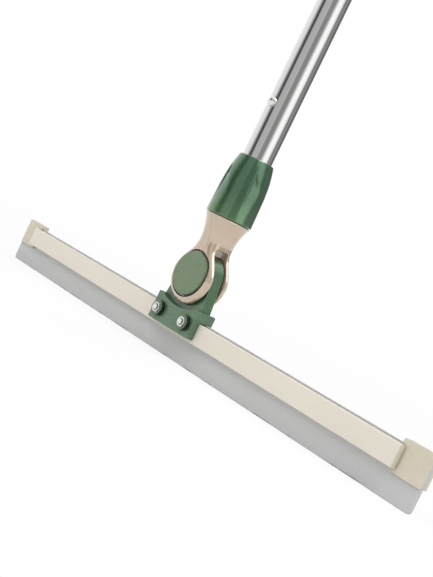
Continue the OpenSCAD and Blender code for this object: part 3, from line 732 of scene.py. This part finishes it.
def make_blade():
    """The silicone strip: rounded lower corners, a slightly wavy lower edge, thin rounded rims."""
    half = (BLADE_HIGH.x - BLADE_LOW.x) / 2
    height = BLADE_HIGH.z - BLADE_LOW.z
    middle = (BLADE_LOW.y + BLADE_HIGH.y) / 2
    thick = (BLADE_HIGH.y - BLADE_LOW.y) / 2
    build = bmesh.new()
    sides = []
    for side in (-1, 1):
        grid = []
        for row in range(BLADE_ROWS + 1):
            z = height * (row / BLADE_ROWS) ** BLADE_CROWDING
            reach = half
            if z < BLADE_CORNER:
                cut = math.sqrt(max(BLADE_CORNER ** 2 - (BLADE_CORNER - z) ** 2, 0))
                reach = half - BLADE_CORNER + cut
            line = []
            for column in range(BLADE_COLUMNS + 1):
                x = reach * (2 * column / BLADE_COLUMNS - 1)
                y = middle + side * thick + blade_drift(x, z, height)
                line.append(build.verts.new((x, y, BLADE_LOW.z + z)))
            grid.append(line)
        sides.append(grid)
        for below, above in zip(grid, grid[1:]):
            for column in range(BLADE_COLUMNS):
                corners = [below[column], below[column + 1], above[column + 1], above[column]]
                build.faces.new(corners if side < 0 else corners[::-1])
    front, rear = (around(grid) for grid in sides)
    for here in range(len(front)):
        there = (here + 1) % len(front)
        build.faces.new((front[there], front[here], rear[here], rear[there]))
    smooth_faces(build.faces)
    blade = object_from_bmesh("silicone_blade", build)
    finish_edges(blade, BLADE_RIM, RIM_SHARP_ANGLE)
    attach(blade, "head")
    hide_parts("wiper_blade")
    return blade


# Round pieces

def add_ring(build, turns, base, z, sunk):
    """Ring of corners at a height, sunk below the base radius by a function of the angle."""
    ring = []
    for turn in range(turns):
        angle = 2 * math.pi * turn / turns
        reach = base - sunk(angle)
        ring.append(build.verts.new((reach * math.cos(angle), reach * math.sin(angle), z)))
    return ring


def close_rings(build, rings):
    """Skin over the rings, from each to the next and from the last to the first."""
    for below, above in zip(rings, rings[1:] + rings[:1]):
        for turn in range(len(below)):
            beside = (turn + 1) % len(below)
            build.faces.new((below[turn], below[beside], above[beside], above[turn]))
    smooth_faces(build.faces)


# Collar

# Its outside from the lower edge up, height and radius in millimetres
COLLAR_SHAPE = [
    (0.6, 19.75), (8, 19.6), (16, 19.4), (24, 19.2),
    (32, 18.7), (40, 17.75), (47, 16.35), (52.2, 15.0),
]
COLLAR_TURNS = 450
COLLAR_ROWS = 110
COLLAR_SHARP_ANGLE = 40
LOW_EDGE, TOP_EDGE = 0.6 * MM, 0.8 * MM
EDGE_STEP = math.pi / 8

# Its inside: the play on the tube, the length that runs on it, and the room for the nut below
BORE_PLAY = 0.15 * MM
BORE_LENGTH = 3 * MM
BORE_EDGE = 0.3 * MM
NUT_R, NUT_TOP = 15.65 * MM, 22 * MM

# Its leaf-shaped grips: how many, where the first begins, how wide and how deep they are, the
# heights of tip and foot, and the lengths over which they and the two sides run out
LEAF_COUNT = 4
LEAF_START = math.radians(-26.0)
LEAF_WIDTH = math.radians(44)
LEAF_SUNK = 0.9 * MM
LEAF_TIP, LEAF_TIP_FADE = 43 * MM, 26 * MM
LEAF_FOOT, LEAF_FOOT_FADE = 3 * MM, 26 * MM
LEAF_LEFT_FADE = math.radians(4)
LEAF_RIGHT_SHARE = 0.7


def collar_radius(height):
    """Radius of the collar at a height above its lower edge, smooth through its shape."""
    shape = [(z * MM, radius * MM) for z, radius in COLLAR_SHAPE]
    if height <= shape[0][0]:
        return shape[0][1]
    for number in range(len(shape) - 1):
        (z0, r0), (z1, r1) = shape[number], shape[number + 1]
        if height <= z1:
            before = shape[max(number - 1, 0)]
            after = shape[min(number + 2, len(shape) - 1)]
            lean0 = (r1 - before[1]) / (z1 - before[0])
            lean1 = (after[1] - r0) / (after[0] - z0)
            t, span = (height - z0) / (z1 - z0), z1 - z0
            return (
                (2 * t ** 3 - 3 * t ** 2 + 1) * r0 + (t ** 3 - 2 * t ** 2 + t) * span * lean0
                + (3 * t ** 2 - 2 * t ** 3) * r1 + (t ** 3 - t ** 2) * span * lean1
            )
    return shape[-1][1]


def leaf_depth(angle, height):
    """Depth of the leaf-shaped grips: a crisp left edge, a tip at the top, a foot that runs out."""
    along = (angle - LEAF_START) % (2 * math.pi / LEAF_COUNT)
    tip = smooth((LEAF_TIP - height) / LEAF_TIP_FADE)
    width = LEAF_WIDTH * math.sqrt(tip)
    if along > width or width <= 0:
        return 0.0
    left = smooth(along / LEAF_LEFT_FADE)
    right = smooth((1 - along / width) / LEAF_RIGHT_SHARE)
    foot = smooth((height - LEAF_FOOT) / LEAF_FOOT_FADE)
    return LEAF_SUNK * left * right * foot


def make_collar():
    """The locking collar: a slim cone with a round top, leaf-shaped grips and a bore."""
    bore = TUBE_R + BORE_PLAY
    height = COLLAR_HIGH.z - COLLAR_LOW.z
    body_top = height - TOP_EDGE
    foot, top = collar_radius(0), collar_radius(body_top)
    outline = []
    for step in range(4):
        angle = step * EDGE_STEP
        outline.append((foot - LOW_EDGE * (1 - math.sin(angle)), LOW_EDGE * (1 - math.cos(angle))))
    for row in range(COLLAR_ROWS + 1):
        z = LOW_EDGE + (body_top - LOW_EDGE) * row / COLLAR_ROWS
        outline.append((collar_radius(z), z))
    for step in range(1, 5):
        angle = step * EDGE_STEP
        z = body_top + TOP_EDGE * math.sin(angle)
        outline.append((top - TOP_EDGE * (1 - math.cos(angle)), z))
    outline += [
        (bore + BORE_EDGE, height), (bore, height - BORE_EDGE), (bore, height - BORE_LENGTH),
        (NUT_R, NUT_TOP), (NUT_R, BORE_EDGE), (NUT_R + BORE_EDGE, 0),
    ]
    build = bmesh.new()
    rings = []
    for radius, z in outline:
        def sunk(angle, radius=radius, z=z):
            return leaf_depth(angle, z) if radius > NUT_R else 0
        rings.append(add_ring(build, COLLAR_TURNS, radius, COLLAR_LOW.z + z, sunk))
    close_rings(build, rings)
    for edge in build.edges:
        edge.smooth = edge.calc_face_angle(0) < math.radians(COLLAR_SHARP_ANGLE)
    collar = object_from_bmesh("fluted_collar", build)
    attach(collar, "collar")
    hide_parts("locking_collar")
    return collar


# Leaf spring


def make_spring():
    """The button's leaf spring: a copy of its solid, where it stands."""
    spring = mesh_object("leaf_spring", frame["nodes"]["button_spring"].data.copy())
    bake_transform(spring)
    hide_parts("button_spring")
    return spring


# Hand grip

GRIP_TURNS = 216
GRIP_STEPS = 170
GRIP_END_STEPS = 6
GRIP_MARGIN = 15 * MM
GRIP_ROUNDING = 2 * MM
GRIP_SKIN = 0.05 * MM
RIB_COUNT = 36
RIB_HEIGHT = 0.22 * MM
RIB_FROM_GROOVE, RIB_FADE = 2.6 * MM, 1.2 * MM
GROOVE_COUNT = 9
GROOVE_DEPTH = 1.3 * MM
GROOVE_HALF = 1.7 * MM


def grip_radius(z, length, outer):
    """Radius of the grip and share of its ribs at a height above its lower end."""
    from_end = min(z, length - z)
    short = max(GRIP_ROUNDING - from_end, 0)
    end = GRIP_ROUNDING - math.sqrt(max(GRIP_ROUNDING ** 2 - short ** 2, 0))
    pitch = (length - 2 * GRIP_MARGIN) / GROOVE_COUNT
    along = (z - GRIP_MARGIN) / pitch
    if not 0 <= along <= GROOVE_COUNT:
        return outer - end, 0.0
    phase = along % 1 - 0.5
    groove = GROOVE_DEPTH * math.exp(-((phase * pitch / GROOVE_HALF) ** 4))
    ribs = min(1.0, max(0.0, (abs(phase) * pitch - RIB_FROM_GROOVE) / RIB_FADE))
    return outer - end - groove, ribs


def make_grip():
    """The rubber sleeve: round grooves between bands of fine lengthwise ribs, on rounded ends."""
    length = GRIP_HIGH.z - GRIP_LOW.z
    outer = (GRIP_HIGH.x - GRIP_LOW.x) / 2 - GRIP_SKIN
    inner = TUBE_R + GRIP_SKIN
    steps = range(GRIP_END_STEPS)
    ends = [GRIP_ROUNDING * (step / GRIP_END_STEPS) ** 2 for step in steps]
    span = length - 2 * GRIP_ROUNDING
    heights = ends + [GRIP_ROUNDING + span * step / GRIP_STEPS for step in range(GRIP_STEPS + 1)]
    heights += [length - end for end in reversed(ends)]
    outside = [(z, *grip_radius(z, length, outer)) for z in heights]
    outline = [(0, inner, 0)] + outside + [(length, inner, 0)]
    build = bmesh.new()
    rings = []
    for z, base, ribs in outline:
        def sunk(angle, ribs=ribs):
            return ribs * RIB_HEIGHT * (0.5 - 0.5 * math.cos(RIB_COUNT * angle))
        rings.append(add_ring(build, GRIP_TURNS, base, GRIP_LOW.z + z, sunk))
    close_rings(build, rings)
    grip = object_from_bmesh("rubber_grip", build)
    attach(grip, "handle")
    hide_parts("hand_grip")
    return grip


# Stage, lights and world

# Cards around the object, which only reflections show: where each begins and ends, in degrees from
# the camera's direction, the width over which it fades out, and its brightness. White is 1.
GLOSSY_CARDS = {
    "back_edge": (-180, -171, 10, 0.40),
    "left_flag": (-69, -63, 34, 0.09),
    "left_wall": (-54, -22, 18, 0.60),
    "middle_wall": (-4, 17, 20, 0.34),
    "right_wall": (84, 106, 16, 0.32),
    "back_flag": (118, 180, 14, 0.20),
    "left_box": (-150, -110, 16, 1.08),
    "right_box": (42, 64, 10, 1.4),
}

# The ring that the cards stand in, in metres, and the strips that it is made of
CARD_DISTANCE = 3.5
CARD_TOP = 3.0
CARD_STRIPS = 180


def card_brightness(offset):
    """Brightness of the ring in one direction: the darkest card there, or else the brightest."""
    dark, bright = 1.0, 1.0
    for begin, end, width, level in GLOSSY_CARDS.values():
        away = max(begin - offset, offset - end, 0) / width
        share = 1 - away * away * (3 - 2 * away) if away < 1 else 0
        here = 1 + (level - 1) * share
        dark, bright = min(dark, here), max(bright, here)
    return dark if dark < 1 else bright


def make_cards():
    """One ring of tall strips, so that metal and gloss have their dark and bright bands."""
    build = bmesh.new()
    level = build.faces.layers.float.new("brightness")
    posts = []
    for strip in range(CARD_STRIPS):
        angle = CAMERA_AZIMUTH + math.radians(360 * strip / CARD_STRIPS - 180)
        x, y = math.sin(angle) * CARD_DISTANCE, -math.cos(angle) * CARD_DISTANCE
        posts.append([build.verts.new((x, y, z)) for z in (0.0, CARD_TOP)])
    for strip in range(CARD_STRIPS):
        here, there = posts[strip], posts[(strip + 1) % CARD_STRIPS]
        face = build.faces.new((here[0], there[0], there[1], here[1]))
        face[level] = card_brightness(360 * (strip + 0.5) / CARD_STRIPS - 180)
    ring = object_from_bmesh("reflected_cards", build)
    material = bpy.data.materials.new("reflected_cards")
    tree = bare_tree(material)
    brightness = tree.nodes.new("ShaderNodeAttribute")
    brightness.attribute_name = "brightness"
    glow = tree.nodes.new("ShaderNodeEmission")
    tree.links.new(brightness.outputs["Fac"], glow.inputs["Strength"])
    out = tree.nodes.new("ShaderNodeOutputMaterial")
    tree.links.new(glow.outputs["Emission"], out.inputs["Surface"])
    paint(ring, material)
    ring.visible_camera = False
    ring.visible_diffuse = False
    ring.visible_transmission = False
    ring.visible_shadow = False


def seen_directly(tree, rays):
    """Share that is 1 for any of the kinds of ray named, and 0 for light on a surface."""
    path = tree.nodes.new("ShaderNodeLightPath")
    seen = path.outputs[rays[0]]
    for ray in rays[1:]:
        either = tree.nodes.new("ShaderNodeMath")
        either.operation = "MAXIMUM"
        tree.links.new(seen, either.inputs[0])
        tree.links.new(path.outputs[ray], either.inputs[1])
        seen = either.outputs["Value"]
    return seen


# The floor: half its side, how far it lies below the wiping edge, and its grey. The camera and
# reflections see it glow white, by a share that rises away from the object, where its shadow lies.
FLOOR_REACH = 8
FLOOR_DROP = 0.02 * MM
FLOOR_GREY = 0.86
GLOW_NEAR, GLOW_FAR = 0.3, 1.6
GLOW_LEAST = 0.86


def make_floor():
    build = bmesh.new()
    signs = ((-1, -1), (1, -1), (1, 1), (-1, 1))
    build.faces.new([build.verts.new((x * FLOOR_REACH, y * FLOOR_REACH, 0)) for x, y in signs])
    floor = object_from_bmesh("floor", build)
    floor.location.z = -FLOOR_DROP
    material = bpy.data.materials.new("floor_white")
    tree = bare_tree(material)
    diffuse = tree.nodes.new("ShaderNodeBsdfDiffuse")
    diffuse.inputs["Color"].default_value = (*grey(FLOOR_GREY), 1)
    glow = tree.nodes.new("ShaderNodeEmission")
    glow.inputs["Strength"].default_value = 1.0
    place = tree.nodes.new("ShaderNodeTexCoord")
    away = tree.nodes.new("ShaderNodeVectorMath")
    away.operation = "LENGTH"
    tree.links.new(place.outputs["Object"], away.inputs[0])
    lit = tree.nodes.new("ShaderNodeMapRange")
    lit.interpolation_type = "SMOOTHSTEP"
    for socket, number in zip(RANGE_SOCKETS, (GLOW_NEAR, GLOW_FAR, GLOW_LEAST, 1.0)):
        lit.inputs[socket].default_value = number
    tree.links.new(away.outputs["Value"], lit.inputs["Value"])
    share = tree.nodes.new("ShaderNodeMath")
    share.operation = "MULTIPLY"
    tree.links.new(seen_directly(tree, ("Is Camera Ray", "Is Glossy Ray")), share.inputs[0])
    tree.links.new(lit.outputs["Result"], share.inputs[1])
    mix = tree.nodes.new("ShaderNodeMixShader")
    tree.links.new(share.outputs["Value"], mix.inputs["Fac"])
    tree.links.new(diffuse.outputs[0], mix.inputs[1])
    tree.links.new(glow.outputs[0], mix.inputs[2])
    out = tree.nodes.new("ShaderNodeOutputMaterial")
    tree.links.new(mix.outputs[0], out.inputs["Surface"])
    paint(floor, material)


# Lamps: name, direction in degrees from the camera's, elevation, distance, side and watts
LIGHTS = [
    ("key", 34, 53, 2.0, 1.1, 19),
    ("fill", -66, 40, 2.2, 1.5, 17),
    ("top_back", 150, 55, 2.0, 1.2, 9),
]
LIGHT_AIM = HINGE + Vector((0, 0, 30 * MM))


def make_lights():
    for name, offset, elevation, distance, side, watts in LIGHTS:
        data = bpy.data.lights.new(name, "AREA")
        data.size = side
        data.energy = watts
        lamp = bpy.data.objects.new(name, data)
        bpy.context.scene.collection.objects.link(lamp)
        azimuth = CAMERA_AZIMUTH + math.radians(offset)
        rise = math.radians(elevation)
        towards = Vector((
            math.sin(azimuth) * math.cos(rise), -math.cos(azimuth) * math.cos(rise), math.sin(rise)
        ))
        lamp.location = LIGHT_AIM + towards * distance
        lamp.rotation_mode = "QUATERNION"
        lamp.rotation_quaternion = towards.to_track_quat("Z", "Y")
        lamp.visible_glossy = name == "key"


# How bright the surroundings are as a light, where white is 1
AMBIENT = 0.42


def make_world():
    """White where the camera, reflections and glass see it, softer where it lights."""
    world = bpy.data.worlds.new("studio")
    bpy.context.scene.world = world
    tree = bare_tree(world)
    mix = tree.nodes.new("ShaderNodeMixShader")
    rays = ("Is Camera Ray", "Is Glossy Ray", "Is Transmission Ray")
    tree.links.new(seen_directly(tree, rays), mix.inputs["Fac"])
    for socket, strength in ((1, AMBIENT), (2, 1.0)):
        white = tree.nodes.new("ShaderNodeBackground")
        white.inputs["Color"].default_value = (1, 1, 1, 1)
        white.inputs["Strength"].default_value = strength
        tree.links.new(white.outputs["Background"], mix.inputs[socket])
    out = tree.nodes.new("ShaderNodeOutputWorld")
    tree.links.new(mix.outputs[0], out.inputs["Surface"])


# Putting it together

def dress():
    surfaces = {slot: make().material for slot, make in MATERIALS.items()}
    slot_of = {node: slot for slot, nodes in FINISH.items() for node in nodes}
    for node, slot in slot_of.items():
        paint(frame["nodes"][node], surfaces[slot])
    made = {node: refined(node, width) for node, width in ROUNDED.items()}
    made["wiper_blade"] = make_blade()
    made["hand_grip"] = make_grip()
    made["locking_collar"] = make_collar()
    made["fork"] = make_fork()
    made["button_spring"] = make_spring()
    for node, piece in made.items():
        paint(piece, surfaces[slot_of[node]])


bpy.context.scene.view_settings.view_transform = "Standard"
make_camera()
make_world()
make_lights()
make_cards()
make_floor()
dress()
